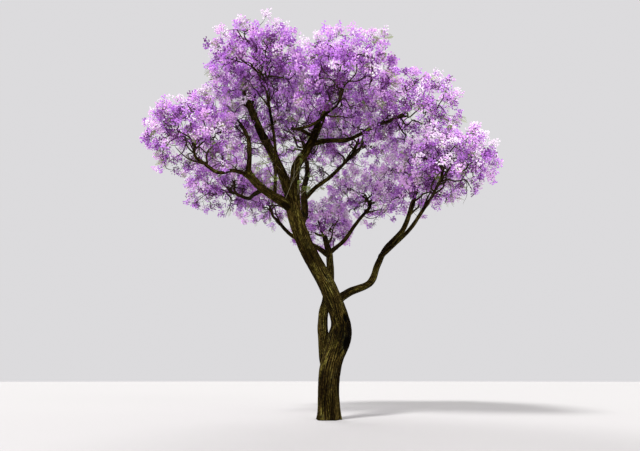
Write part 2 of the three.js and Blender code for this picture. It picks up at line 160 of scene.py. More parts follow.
# Bark relief: columns of furrows that bend, jog and fade, cracks across them and a crust on the ridges
TRUNK_BARK = Sizes(spacing=0.038, side=0.02, column=0.085, plate=0.7, depth=0.034)
LIMB_BARK = Sizes(spacing=0.052, side=0.022, column=0.066, plate=0.4, depth=0.017)
LEAST_SIDES = 14
BARK_LEVEL = 0.6
THIN_BARK_RADIUS = 0.12
FURROWS = Sizes(
    least=5, least_bends=3, per_bend=3, bend=1.1, sway=1.5, jog=0.22, jog_length=0.22, narrow=2.6,
    fade=0.65, strength=1.9, loss=0.1, weakest=0.25)
CRACKS = Sizes(per_column=3, ragged=0.12, length=0.07, narrow=14.0, depth=0.22)
CRUST = Sizes(length=0.16, even=0.74, uneven=0.26)
# The folds' shade is painted shade: the bark's colour darkens in them
FOLDS = Sizes(
    count=8, depth=0.045, narrow=5.0, sway=0.8, sway_length=1.5, patch_length=1.2, least=0.25, fade=3.2,
    shade=0.55)
UNEVEN_SIDES = Sizes(size=0.16, lobes=3, length=0.45, full_from=0.5)
LIMB_END = Sizes(length=0.5, drawn_in=0.95)
BURL = Sizes(size=0.32, reach=0.26)
BURLED_LIMB = "bough_left"

# Masses of blossom: the limb that carries each, the middle of its space and its share of the full size
MASS_HALF_SIZE = np.array((2.9, 2.9, 2.1))
MASSES = {
    "blossom_top_left": ("branch_left_up", (-5.6, 0.3, 14.7), 0.95),
    "blossom_top_centre": ("bough_centre", (-3.4, -1.5, 15.8), 0.9),
    "blossom_top_right": ("bough_right_up", (0.4, -2.2, 15.3), 0.95),
    "blossom_top_back": ("bough_back", (-1.6, 2.2, 15.3), 1.0),
    "blossom_top_middle": ("branch_middle", (1.9, 1.5, 14.6), 0.95),
    "blossom_left": ("branch_left_out", (-6.1, -2.8, 12.0), 0.85),
    "blossom_left_back": ("branch_left_back", (-5.7, 2.6, 12.0), 0.9),
    "blossom_front": ("branch_slender", (-2.9, -4.8, 14.5), 0.8),
    "blossom_front_right": ("branch_crook", (0.8, -5.1, 13.5), 0.85),
    "blossom_right_high": ("branch_right_high", (3.8, -2.4, 13.5), 0.9),
    "blossom_right": ("bough_right", (4.9, 1.7, 11.9), 0.92),
    "blossom_right_low": ("branch_right_low", (5.3, -2.8, 10.6), 0.8),
    "blossom_back_right": ("bough_rear_right", (2.4, 4.8, 12.4), 0.92),
    "blossom_back": ("bough_rear", (-0.3, 5.6, 10.6), 0.8),
    "blossom_back_left": ("bough_rear_left", (-3.7, 5.0, 12.3), 0.92),
}

# Twigs: a mass's stem and forks, then side twigs, then end twigs, each from the nearest free wood
TWIG_SAG = -0.48 * UP
STEM = Sizes(to_twig=0.55, onward=0.3, towards=0.65, swing=0.15, wobble=0.15, spacing=0.16, free_from=0.4)
FORKS = Sizes(
    count=7, highest=0.9, lowest=-0.75, reach=0.72, deepest=0.8, order=3, start=0.4, run=0.58, foot=0.95,
    tip=0.022, bow=0.7, bend=0.16, sides=6, spacing=0.14)
SIDE_TWIGS = Sizes(
    count=30, bow=TWIG_SAG, radius=(0.027, 0.013), bend=0.15, sides=4, spacing=0.17,
    depths=(0.84, 0.7, 0.84, 0.55), lowest=-0.9)
END_TWIGS = Sizes(
    count=158, bow=TWIG_SAG, radius=(0.015, 0.007), bend=0.13, sides=3, spacing=0.2,
    depths=(0.91, 0.78, 0.86, 0.6, 0.88, 0.72, 0.83, 0.42), lowest=-0.62, scatter=0.15)
TWIG_STEP = 0.28
TWIG_POINT = 0.2
TWIG_FREE_FROM = 0.25
TWIG_CLEARANCE = 0.1
BLOSSOM_CLEARANCE = 0.34
BOX_MARGIN = 0.27
OBSTACLE_SPACING = 0.15
HEADING_SPACING = 0.05

# Crooked twigs: bare ones from the limbs, leaders on from the limbs' tips, inner ones from the forks
# Blossom on the crooked twigs takes a middle depth, which sets its painted shade
CROOKED = Sizes(step=0.19, rise=0.1, spacing=0.15, buried=3, in_flower=0.05, depth=0.5)
CROOKED_TWIGS = Sizes(
    apart=0.26, lowest=10.6, upward=0.4, length=(0.8, 2.1), radius=(0.026, 0.008), crook=0.5, sides=4)
LEADERS = Sizes(
    count=2, length=(1.5, 2.2), thickness=0.8, most=0.075, tip=0.012, turn=0.3, crook=0.22, sides=6)
INNER_TWIGS = Sizes(each=2, length=(0.9, 2.0), radius=(0.018, 0.007), crook=0.45, fall=0.3, sides=4)
OFFSHOOTS = Sizes(count=3, first=2, buried=2, share=0.45, radius=(0.012, 0.005), turn=0.7, sides=3)

# Blossom: panicles round the end of each twig, and funnel flowers of five petals round each panicle
PANICLES = Sizes(
    each=4, length=(0.26, 0.42), radius=0.12, outward=0.75, upward=0.4, scatter=0.6, apart=0.03,
    stalk=(0.006, 0.003), stalk_sides=3)
# Painted light and shade of the panicles, lighter facing up, with random tone by clump and by panicle
PAINTED_LIGHT_AND_TONE = Sizes(upward=0.2, clump=0.16, scatter=0.24)
FLOWER = Sizes(petals=5, length=0.068, radius=0.038, half_angle=math.radians(30), uneven=0.12)
FLOWERS = Sizes(
    each=11, first=0.12, run=0.88, uneven=0.05, narrowing=0.62, spread=(0.5, 1.25), outward=1.1,
    outward_loss=0.7, onward=0.35, scatter=0.45, size=(0.75, 1.25))

# Leaves, and young shoots on the boughs, with the shares of their length that they go out, up and aside
LEAVES = Sizes(share=0.3, each=2, length=(0.3, 0.48), scatter=0.7, droop=0.4)
LEAFLETS = Sizes(
    pairs=9, first=0.8, half_width=0.012, reach=0.34, start=0.15, run=0.8, forward=0.5, droop=0.2)
SHOOTS = Sizes(
    groups=20, each=3, length=(0.6, 1.7), radius=(0.012, 0.004), share=(0.1, 0.75), sides=5, apart=0.1,
    spacing=0.09)
SHOOT_BEND = Sizes(out=0.1, up=0.22)
SHOOT_ROUTE = ((0.38, 0.52, 0.04), (0.62, 0.8, 0.16))
SHOOT_HOSTS = ("bough_centre", "bough_right_up", "bough_left", "bough_right_up", "bough_back")

# Colours, linear. Each shade of blossom has its share of the panicles, from the innermost to the outermost:
# the deepest is painted shade inside the crown, the palest painted light and highlight outside and on top.
PETAL_PAINTED_SHADES = {
    "deep_painted_shade": (0.12, (0.17, 0.028, 0.2)),
    "violet": (0.19, (0.43, 0.13, 0.58)),
    "lilac": (0.25, (0.68, 0.3, 0.87)),
    "lavender": (0.23, (0.86, 0.52, 1.0)),
    "pale_painted_light": (0.21, (0.97, 0.8, 1.0)),
}
LEAF_GREEN = (0.19, 0.25, 0.035)
TWIG_BROWNS = ((0.012, 0.007, 0.003), (0.048, 0.032, 0.013))
SHOOT_STRAW = (0.28, 0.245, 0.155)
SHOOT_SHADE = 0.6
SPECKLE_TONES = (0.8, 1.16)
BLACK = (0, 0, 0)
WHITE = (1, 1, 1)

# Bark finish: scale, detail and stretch of each noise pattern, and the colours that patterns and heights
# take. The height ramps are partly the bark's own tones and partly painted shade in the furrows and a painted
# highlight on the ridges.
BARK_PATTERNS = {
    "grain": (42.0, 8.0, 0.2),
    "streaks": (6.0, 6.0, 0.2),
    "patches": (1.9, 3.0, 0.5),
    "specks": (15.0, 4.0, 0.5),
    "large_dark_patches": (0.9, 4.0, 0.4),
    "flecks": (34.0, 6.0, 0.5),
}
BARK_TONES = {
    "plate": [(0.0, BLACK), (0.16, WHITE)],
    "brown": [(0.22, (0.002, 0.001, 0)), (0.44, (0.008, 0.005, 0.001)),
              (0.6, (0.06, 0.041, 0.007)), (0.78, (0.2, 0.144, 0.036))],
    "olive": [(0.22, (0.002, 0.001, 0)), (0.44, (0.014, 0.011, 0.002)),
              (0.6, (0.13, 0.109, 0.015)), (0.78, (0.42, 0.375, 0.105))],
    "streaks": [(0.47, BLACK), (0.62, WHITE)],
    "patches": [(0.56, BLACK), (0.68, WHITE)],
    "specks": [(0.47, BLACK), (0.6, (0.7, 0.7, 0.7))],
    "crust": [(0.38, (0.006, 0.006, 0.002)), (0.7, (0.13, 0.135, 0.06))],
    "large_dark_patches": [(0.4, (0.2, 0.16, 0.11)), (0.58, WHITE)],
    "flecks": [(0.42, (0.46, 0.44, 0.4)), (0.56, WHITE)],
    "shade": [(0.2, (0.58, 0.55, 0.5)), (0.8, WHITE)],
    "deep_painted_shade": [(0.0, (0.12, 0.09, 0.06)), (0.13, WHITE)],
}
BARK_PLATES = Sizes(size=(20, 20, 3.0), wander=0.09, wander_scale=4.5)

# Stage
FLOOR_RADIUS = 500
FLOOR_CORNERS = 64
FLOOR_LEVEL = -0.002
FLOOR_GREY = (0.4, 0.39, 0.386, 1)
SKY = Sizes(colour=(0.94, 0.93, 0.95, 1), strength=0.76)
SUNS = {
    "key": Sizes(energy=4.7, tilt=46, turn=-36, softness=12),
    "fill": Sizes(energy=1.5, tilt=76, turn=32, softness=40),
    "rim": Sizes(energy=1.6, tilt=-38, turn=20, softness=25),
}


def unit(vector):
    """Vectors of length one, down the last axis."""
    return vector / np.maximum(norm(vector, axis=-1, keepdims=True), TINY)


def smooth_route(knots, spacing):
    """Evenly spaced points on a centripetal curve through the knots, and how far along it each lies."""
    knots = np.asarray(knots, dtype=float)
    places = np.vstack([2 * knots[0] - knots[1], knots, 2 * knots[-1] - knots[-2]])
    share = np.linspace(0, 1, CURVE_STEPS, endpoint=False)[:, None]
    fine = []
    for earlier, start, end, later in zip(places, places[1:], places[2:], places[3:]):
        before, here, after = (math.sqrt(norm(far - near)) for near, far in (
            (earlier, start), (start, end), (end, later)))
        leave = ((start - earlier) / before - (end - earlier) / (before + here) + (end - start) / here) * here
        arrive = ((end - start) / here - (later - start) / (here + after) + (later - end) / after) * here
        cubic = 2 * start - 2 * end + leave + arrive
        square = -3 * start + 3 * end - 2 * leave - arrive
        fine.append(start + leave * share + square * share ** 2 + cubic * share ** 3)
    fine = np.vstack(fine + [knots[-1:]])
    walked = np.concatenate([[0], np.cumsum(norm(np.diff(fine, axis=0), axis=1))])
    count = max(LEAST_POINTS, int(round(walked[-1] / spacing)) + 1)
    stations = np.linspace(0, walked[-1], count)
    points = np.stack([np.interp(stations, walked, fine[:, axis]) for axis in range(3)], axis=1)
    return points, stations


def frames_along(points):
    """Two directions across the route at each point, which don't twist. The first starts at the back."""
    tangents = unit(np.gradient(points, axis=0))
    normal = np.array(BACK)
    if abs(np.dot(normal, tangents[0])) > NEARLY_ALONG:
        normal = UP
    normals = np.empty_like(tangents)
    for index, tangent in enumerate(tangents):
        normal = unit(normal - np.dot(normal, tangent) * tangent)
        normals[index] = normal
    return normals, np.cross(tangents, normals)


def value_noise(around, along, period, seed):
    """Smooth noise from 0 to 1, a value to each cell, which repeats round after period cells."""
    table = np.random.default_rng(seed).random((period, NOISE_ROWS))
    column, row = np.floor(around).astype(int), np.floor(along).astype(int)
    across, up = around - column, along - row
    across, up = across * across * (3 - 2 * across), up * up * (3 - 2 * up)
    beside, above = (column + 1) % period, (row + 1) % NOISE_ROWS
    column, row = column % period, row % NOISE_ROWS
    low = table[column, row] * (1 - across) + table[beside, row] * across
    high = table[column, above] * (1 - across) + table[beside, above] * across
    return low * (1 - up) + high * up


def add_mesh(name, vertices, *face_sets):
    """An object from vertex rows and sets of faces, each set with its own number of corners."""
    corners = np.concatenate([faces.ravel() for faces in face_sets]).astype(np.int32)
    sizes = np.concatenate([np.full(len(faces), faces.shape[1]) for faces in face_sets])
    starts = np.concatenate([[0], np.cumsum(sizes)[:-1]]).astype(np.int32)
    mesh = bpy.data.meshes.new(name)
    mesh.vertices.add(len(vertices))
    mesh.vertices.foreach_set("co", np.ascontiguousarray(vertices, dtype=np.float32).ravel())
    mesh.loops.add(len(corners))
    mesh.loops.foreach_set("vertex_index", corners)
    mesh.polygons.add(len(sizes))
    mesh.polygons.foreach_set("loop_start", starts)
    mesh.update(calc_edges=True)
    piece = bpy.data.objects.new(name, mesh)
    bpy.context.scene.collection.objects.link(piece)
    return piece


def add_piece(name, slot, material, smooth, vertices, *face_sets):
    """A piece of the tree with its finish."""
    piece = add_mesh(name, vertices, *face_sets)
    piece.data.polygons.foreach_set("use_smooth", np.full(len(piece.data.polygons), smooth))
    piece.data.materials.append(material)
    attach(piece, BODY)
    return piece


def ring_faces(rings, sides):
    """Quads of a tube, ring after ring."""
    ring, side = np.meshgrid(np.arange(rings - 1), np.arange(sides), indexing="ij")
    here = ring * sides + side
    after = ring * sides + (side + 1) % sides
    return np.stack([here, after, after + sides, here + sides], axis=-1).reshape(-1, 4)


def sphere_directions(count, turn, top, bottom):
    """Unit vectors spread evenly from the top height to the bottom height."""
    heights = top - (top - bottom) * (np.arange(count) + 0.5) / count
    angles = turn + np.arange(count) * GOLDEN_ANGLE
    ring = np.sqrt(1 - heights ** 2)
    return np.stack([ring * np.cos(angles), ring * np.sin(angles), heights], axis=1)


# Trunk and limbs

def trunk_radius(height, angle):
    """An even taper, the root flare with its lobes, two swellings and shallow flutes."""
    top = TRUNK_ROUTE[-1][2]
    taper = TRUNK_FOOT_RADIUS + (TRUNK_FORK_RADIUS - TRUNK_FOOT_RADIUS) * height / top
    flare = ROOT_FLARE.reach * np.exp(-height / ROOT_FLARE.height)
    lobe = ROOT_FLARE.even + ROOT_FLARE.lobed * np.cos(ROOT_FLARE.lobes * angle + ROOT_FLARE.turn)
    flute = 1 + FLUTES.depth * np.sin(FLUTES.count * angle + height)
    swells = sum(part.size * np.exp(-(((height - part.height) / part.spread) ** 2))
                 for part in (LOW_FORK_SWELL, KNOT_SWELL))
    return taper * flute + flare * lobe + swells


def limb_line(name, stems, spacing):
    """Points, stations and even radius of a limb and its mass's stem, and how many are the limb's own."""
    (foot, tip), route = LIMBS[name]
    stem = stems.get(name, [])
    points, stations = smooth_route(route + stem, spacing)
    own = int(np.argmin(norm(points - route[-1], axis=1))) + 1
    end = tip * STEM.to_twig if stem else tip
    radius = np.interp(stations, [0, stations[own - 1], stations[-1] + spacing], [foot, tip, end])
    collar = BRANCH_COLLAR.size * np.exp(-stations / (BRANCH_COLLAR.reach * 2 * foot))
    rise = np.clip(stations / (LIMB_FOOT.reach * foot), 0, 1)
    return points, stations, radius * (1 + collar) * (LIMB_FOOT.narrow + LIMB_FOOT.widening * rise), own


def groove(phase, sharpness):
    """1 where the phase is a whole number, and 0 between."""
    return np.abs(2 * (phase - np.floor(phase)) - 1) ** sharpness


def bark_relief(angle, along, girth, look, seed):
    """Height of the bark, 1 on the ridges: furrows that wander and fade, with ragged cracks across."""
    around = angle / TURN
    columns = max(FURROWS.least, int(round(girth / look.column)))
    bends = max(FURROWS.least_bends, columns // FURROWS.per_bend)
    fine = columns * CRACKS.per_column

    def wavy(cells, length, step):
        return value_noise(around * cells, along / length, cells, seed + step)

    sway = wavy(bends, FURROWS.bend, 0) + FURROWS.jog * wavy(columns, FURROWS.jog_length, 1)
    phase = around * columns + FURROWS.sway * sway
    strength = FURROWS.strength * wavy(columns, FURROWS.fade, 2) - FURROWS.loss
    furrow = groove(phase, FURROWS.narrow) * np.clip(strength, FURROWS.weakest, 1)
    start = np.random.default_rng(seed + 3).random(columns)[np.floor(phase).astype(int) % columns]
    ragged = CRACKS.ragged * wavy(fine, CRACKS.length, 4)
    crack = groove(along / look.plate + start + ragged, CRACKS.narrow)
    crust = CRUST.even + CRUST.uneven * wavy(fine, CRUST.length, 5)
    return np.clip(1 - furrow - CRACKS.depth * crack, 0, 1) * crust


def scar_shape(angle, height, radius, scar):
    """A raised rim round a hollow, in metres, and the hollow's own share from 0 to 1."""
    from_facing = angle - math.radians(scar.facing) + math.pi / 2
    across = ((from_facing + math.pi) % TURN - math.pi) * radius
    reach = np.hypot(across, (height - scar.height) / scar.tall) / scar.size
    hollow = np.exp(-(SCAR_HOLLOW.narrow * reach) ** SCAR_HOLLOW.steep)
    rim = np.exp(-((reach - 1) / SCAR_RIM_WIDTH) ** 2)
    return scar.rim * rim - scar.hollow * hollow, hollow


def keep_on_mesh(piece, name, kind, field, values):
    """The mesh keeps a value or a vector for each of its vertices."""
    kept = piece.data.attributes.new(name, kind, "POINT")
    kept.data.foreach_set(field, values.astype(np.float32).ravel())


def bark_skin(node, points, stations, angle, radius, relief_and_painted_shade, look, material):
    """Tube of bark along the route, drawn in at its tip and closed, which replaces the node."""
    rings, sides = radius.shape
    normals, binormals = frames_along(points)
    radius = radius + look.depth * (relief_and_painted_shade - BARK_LEVEL) * np.minimum(1, radius / THIN_BARK_RADIUS)
    closing = np.clip((stations[-1] - stations) / (LIMB_END.length * radius.mean()), 0, 1)
    radius = radius * np.sqrt(1 - LIMB_END.drawn_in * (1 - closing) ** 2)[:, None]
    across, over = radius * np.cos(angle), radius * np.sin(angle)
    vertices = points[:, None] + normals[:, None] * across[..., None] + binormals[:, None] * over[..., None]
    vertices[..., 2] = np.maximum(vertices[..., 2], 0)
    last_ring = (rings - 1) * sides + np.arange(sides)
    piece = add_piece("bark_" + node, "bark", material, True, vertices.reshape(-1, 3),
                      ring_faces(rings, sides), np.arange(sides)[None, ::-1], last_ring[None])
    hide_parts(node)
    straight = np.stack([across, over, np.broadcast_to(stations[:, None], across.shape)], axis=-1)
    # The relief also sets the bark's colour, with painted shade in furrows, folds and hollows
    keep_on_mesh(piece, "relief_and_painted_shade", "FLOAT", "value", relief_and_painted_shade)
    keep_on_mesh(piece, "straight", "FLOAT_VECTOR", "vector", straight)


def side_angles(radius, look):
    """Angles of the corners round a tube, close enough together for its bark."""
    sides = max(LEAST_SIDES, int(round(TURN * radius.mean() / look.side)))
    return TURN * np.arange(sides)[None, :] / sides


def trunk_folds(angle, along):
    """Long folds down the trunk, 1 where they are deepest, which fade with height."""
    count = FOLDS.count
    around = count * angle / TURN
    sway = FOLDS.sway * value_noise(around, along / FOLDS.sway_length, count, SEEDS.folds)
    patches = value_noise(around, along / FOLDS.patch_length, count, SEEDS.folds + 1)
    strength = FOLDS.least + (1 - FOLDS.least) * np.exp(-along / FOLDS.fade)
    return groove(around + sway, FOLDS.narrow) * patches * strength


def make_trunk(material):
    """Trunk with its flare, flutes and healed scars."""
    points, stations = smooth_route(TRUNK_ROUTE, TRUNK_BARK.spacing)
    height = points[:, 2:3]
    angle = side_angles(trunk_radius(height, 0.0), TRUNK_BARK)
    radius = trunk_radius(height, angle)
    relief_and_painted_shade = bark_relief(angle, stations[:, None], TURN * radius.mean(), TRUNK_BARK, SEEDS.trunk)
    fold = trunk_folds(angle, stations[:, None])
    radius = radius - FOLDS.depth * fold
    # Painted shade: the bark's colour darkens in the folds
    relief_and_painted_shade = relief_and_painted_shade * (1 - FOLDS.shade * fold)
    for scar in SCARS:
        raised, hollow = scar_shape(angle, height, radius.mean(), scar)
        radius = radius + raised
        # Painted shade: the bark's colour darkens in each hollow, the more the deeper it is
        relief_and_painted_shade = relief_and_painted_shade * (1 - HOLLOW_SHADE * scar.hollow * hollow)
    bark_skin("trunk", points, stations, angle, radius, relief_and_painted_shade, TRUNK_BARK, material)


def make_limb(name, stems, seed, material):
    """Limb with uneven sides, carried on into the stem of its mass."""
    points, stations, line, _ = limb_line(name, stems, LIMB_BARK.spacing)
    angle = side_angles(line, LIMB_BARK)
    along = stations[:, None]
    lobes = UNEVEN_SIDES.lobes
    uneven = value_noise(angle / TURN * lobes, along / UNEVEN_SIDES.length, lobes, seed) - 0.5
    fullness = np.minimum(1, along / UNEVEN_SIDES.full_from)
    radius = line[:, None] * (1 + UNEVEN_SIDES.size * uneven * fullness)
    if name == BURLED_LIMB:
        radius = radius * (1 + BURL.size * np.exp(-((stations[-1] - along) / BURL.reach) ** 2))
    relief_and_painted_shade = bark_relief(angle, along, TURN * line.mean(), LIMB_BARK, seed + 1)
    bark_skin(name, points, stations, angle, radius, relief_and_painted_shade, LIMB_BARK, material)


# Crown

def stem_knots(name, rng):
    """Places on a mass's stem, on from the limb's tip and round to the middle of the mass."""
    limb, centre, _ = MASSES[name]
    route = LIMBS[limb][1]
    tip = np.array(route[-1])
    onward = unit(tip - smooth_route(route, HEADING_SPACING)[0][-2])
    length = norm(tip - centre)
    return [tip + STEM.onward * length * onward,
            tip + STEM.towards * (centre - tip) + STEM.swing * length * onward,
            centre + rng.uniform(-STEM.wobble, STEM.wobble, 3)]


def limb_pieces(stems):
    """Middles and radii down the trunk and limbs, which twigs and blossom are kept clear of."""
    points, _ = smooth_route(TRUNK_ROUTE, OBSTACLE_SPACING)
    middles, radii = [points], [trunk_radius(points[:, 2], 0.0)]
    for name in LIMBS:
        points, _, radius, own = limb_line(name, stems, OBSTACLE_SPACING)
        middles.append(points[:own])
        radii.append(radius[:own])
    return np.vstack(middles), np.concatenate(radii)


class Space:
    """The space of a mass: its ellipsoid, cut by a plane towards each other mass."""

    def __init__(self, name):
        _, centre, size = MASSES[name]
        self.centre = np.array(centre)
        self.half = MASS_HALF_SIZE * size
        self.normals, self.reaches = [], []
        for other, (_, other_centre, other_size) in MASSES.items():
            if other != name:
                apart = np.array(other_centre) - self.centre
                towards = unit(apart)
                mine = norm(towards * self.half)
                theirs = norm(towards * MASS_HALF_SIZE * other_size)
                self.normals.append(towards)
                self.reaches.append(norm(apart) * mine / (mine + theirs))
        self.normals = np.array(self.normals)
        self.reaches = np.array(self.reaches)

    def depth(self, point):
        """How far out a point lies, from 0 in the middle to 1 at the edge of the space."""
        offset = point - self.centre
        walls = (self.normals @ offset) / self.reaches
        return max(norm(offset / self.half), float(walls.max()))

    def targets(self, rule, turn):
        """Points spread evenly over the space, in turn at each depth that the rule gives."""
        points = []
        for index, direction in enumerate(sphere_directions(rule.count, turn, 1.0, rule.lowest)):
            outward = direction * self.half
            edge = self.depth(self.centre + outward)
            depth = rule.depths[index % len(rule.depths)]
            points.append(self.centre + outward * depth / max(edge, 1))
        return points


class Wood:
    """Twigs as tubes, and the free places on them where more can grow."""

    def __init__(self, obstacles):
        self.middles, self.radii = obstacles
        self.places = np.empty((0, 3))
        self.tubes = []

    def clear(self, points, clearance):
        """Whether all the points keep their distance from every limb."""
        gaps = norm(self.middles[None] - points[:, None], axis=2) - self.radii
        return gaps.min() > clearance

    def offer(self, points):
        """Points on the wood and half way between them become free places."""
        self.places = np.vstack([self.places, points, 0.5 * (points[1:] + points[:-1])])

    def grow(self, start, end, rule, rng):
        """A twig that wanders and bows from start to end, unless it would meet a limb."""
        length = norm(end - start)
        steps = max(2, int(round(length / TWIG_STEP)))
        share = np.linspace(0, 1, steps + 1)[:, None]
        wander = rng.normal(size=(steps + 1, 3)) * rule.bend * length / steps ** 0.5
        wander[[0, -1]] = 0
        bow = rule.bow * length * share * (1 - share)
        knots = start + (end - start) * share + wander + bow
        if not self.clear(knots[1:], TWIG_CLEARANCE):
            return False
        points, _ = smooth_route(knots, rule.spacing)
        self.tubes.append((points, *rule.radius, rule.sides))
        self.offer(points[int(TWIG_FREE_FROM * len(points)):])
        return True

    def take_nearest(self, target):
        """The free place nearest to the target, which isn't free after this."""
        nearest = int(np.argmin(norm(self.places - target, axis=1)))
        place = self.places[nearest].copy()
        self.places = np.delete(self.places, nearest, axis=0)
        return place


def grow_forks(stem, girth, space, wood, rng):
    """Forks from places along the stem to all sides of the space, bowed the way that the stem runs."""
    count = FORKS.count
    rule = Sizes(radius=(FORKS.foot * girth, FORKS.tip), bow=FORKS.bow * unit(stem[-1] - stem[0]),
                 bend=FORKS.bend, sides=FORKS.sides, spacing=FORKS.spacing)
    directions = sphere_directions(count, rng.uniform(0, TURN), FORKS.highest, FORKS.lowest)
    for index, direction in enumerate(directions):
        share = FORKS.start + FORKS.run * ((index * FORKS.order) % count) / count
        start = stem[int(share * (len(stem) - 1))]
        outward = direction * space.half * FORKS.reach
        depth = space.depth(space.centre + outward)
        wood.grow(start, space.centre + outward * min(1, FORKS.deepest / depth), rule, rng)
    return [tube[0] for tube in wood.tubes]


def grow_mass(name, stems, rng, obstacles, tubes, clusters):
    """Forks, side twigs and end twigs of one mass. Gives the forks back."""
    space = Space(name)
    wood = Wood(obstacles)
    points, _, radius, own = limb_line(MASSES[name][0], stems, STEM.spacing)
    stem = points[own - 1:]
    wood.offer(stem[int(STEM.free_from * len(stem)):])
    forks = grow_forks(stem, radius[-1], space, wood, rng)
    for target in space.targets(SIDE_TWIGS, rng.uniform(0, TURN)):
        wood.grow(wood.take_nearest(target), target, SIDE_TWIGS, rng)
    low, high = (np.array(corner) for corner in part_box(name))
    for target in space.targets(END_TWIGS, rng.uniform(0, TURN)):
        target = target + rng.normal(size=3) * END_TWIGS.scatter
        target = np.clip(target, low + BOX_MARGIN, high - BOX_MARGIN)
        start = wood.take_nearest(target)
        if wood.clear(target[None], BLOSSOM_CLEARANCE) and wood.grow(start, target, END_TWIGS, rng):
            outward = unit((target - space.centre) / space.half)
            clusters.append((target, outward, min(1.0, space.depth(target))))
    tubes.extend(wood.tubes)
    return forks


def crooked_route(root, heading, length, crook, rng):
    """Places along a twig that changes its heading at each step."""
    knots = [root]
    for _ in range(max(LEAST_POINTS, int(round(length / CROOKED.step)))):
        heading = unit(heading + rng.normal(size=3) * crook + CROOKED.rise * UP)
        knots.append(knots[-1] + heading * CROOKED.step)
    return np.array(knots), heading


def inside_crown(points):
    """Whether all the points lie in the tree's box, with room for a panicle beside them."""
    low, high = (np.array(corner) for corner in cad_box)
    return bool(np.all((points > low + BOX_MARGIN) & (points < high - BOX_MARGIN)))


def grow_crooked_twig(root, heading, rule, radii, rng, wood, clusters):
    """One crooked twig with offshoots, some in flower, unless it would meet a limb or leave the crown."""
    length = rng.uniform(*rule.length)
    knots, heading = crooked_route(root, heading, length, rule.crook, rng)
    if not (wood.clear(knots[CROOKED.buried:], TWIG_CLEARANCE) and inside_crown(knots)):
        return
    wood.tubes.append((smooth_route(knots, CROOKED.spacing)[0], *radii, rule.sides))
    ends = [(knots[-1], heading)]
    for _ in range(OFFSHOOTS.count):
        start = rng.integers(OFFSHOOTS.first, len(knots) - 1)
        lean = unit(knots[start] - knots[start - 1] + rng.normal(size=3) * OFFSHOOTS.turn)
        branch, heading = crooked_route(
            knots[start], lean, OFFSHOOTS.share * length, CROOKED_TWIGS.crook, rng)
        if wood.clear(branch[OFFSHOOTS.buried:], TWIG_CLEARANCE) and inside_crown(branch):
            points, _ = smooth_route(branch, CROOKED.spacing)
            wood.tubes.append((points, *OFFSHOOTS.radius, OFFSHOOTS.sides))
            ends.append((branch[-1], heading))
    clusters.extend((place, heading, CROOKED.depth) for place, heading in ends
                    if rng.random() < CROOKED.in_flower)


def grow_crooked_twigs(stems, forks, rng, obstacles, tubes, clusters):
    """Crooked twigs from the limbs and forks in the crown's open middle, and leaders on from limb tips."""
    wood = Wood(obstacles)
    for name in LIMBS:
        points, _, radius, own = limb_line(name, stems, CROOKED_TWIGS.apart)
        for place, girth in zip(points[1:own], radius[1:own]):
            sideways = unit(np.array((*rng.normal(size=2), CROOKED_TWIGS.upward)))
            if place[2] > CROOKED_TWIGS.lowest:
                root = place + 0.5 * girth * sideways
                grow_crooked_twig(root, sideways, CROOKED_TWIGS, CROOKED_TWIGS.radius, rng, wood, clusters)
        onward = unit(points[own - 1] - points[own - 2])
        girths = (min(LEADERS.thickness * LIMBS[name][0][1], LEADERS.most), LEADERS.tip)
        for _ in range(LEADERS.count):
            heading = unit(onward + rng.normal(size=3) * LEADERS.turn)
            grow_crooked_twig(points[own - 2], heading, LEADERS, girths, rng, wood, clusters)
    for fork in forks:
        for _ in range(INNER_TWIGS.each):
            root = fork[rng.integers(1, len(fork) - 1)]
            heading = unit(rng.normal(size=3) - INNER_TWIGS.fall * UP)
            grow_crooked_twig(root, heading, INNER_TWIGS, INNER_TWIGS.radius, rng, wood, clusters)
    tubes.extend(wood.tubes)


def tube_meshes(tubes):
    """Vertices and quads of many open tubes, which end inside other wood or in blossom."""
    all_vertices, all_faces, offset = [], [], 0
    for points, start_radius, end_radius, sides in tubes:
        normals, binormals = frames_along(points)
        angle = (TURN * np.arange(sides) / sides)[None, :, None]
        radius = np.linspace(start_radius, end_radius, len(points))[:, None, None]
        radius[-1] *= TWIG_POINT
        ring = normals[:, None] * np.cos(angle) + binormals[:, None] * np.sin(angle)
        vertices = points[:, None] + radius * ring
        all_vertices.append(vertices.reshape(-1, 3))
        all_faces.append(ring_faces(len(points), sides) + offset)
        offset += len(points) * sides
    return np.vstack(all_vertices), np.vstack(all_faces)


def flower_template():
    """Funnel of petals: the narrow foot, and two corners for each petal on the rim."""
    vertices = [(0.0, 0.0, 0.0)]
    faces = []
    for index in range(FLOWER.petals):
        flare = 1.0 + FLOWER.uneven * (-1) ** index
        for side in (-1, 1):
            corner = TURN * index / FLOWER.petals + side * FLOWER.half_angle
            vertices.append((FLOWER.radius * math.cos(corner), FLOWER.radius * math.sin(corner),
                             FLOWER.length * flare))
        faces.append((0, 1 + 2 * index, 2 + 2 * index))
    return np.array(vertices), np.array(faces)


def any_frame(axis):
    """Two directions at right angles to each axis."""
    helper = np.where(np.abs(axis[:, 2:3]) > NEARLY_ALONG, np.array((1.0, 0, 0)), UP)
    across = unit(np.cross(helper, axis))
    return across, np.cross(axis, across)


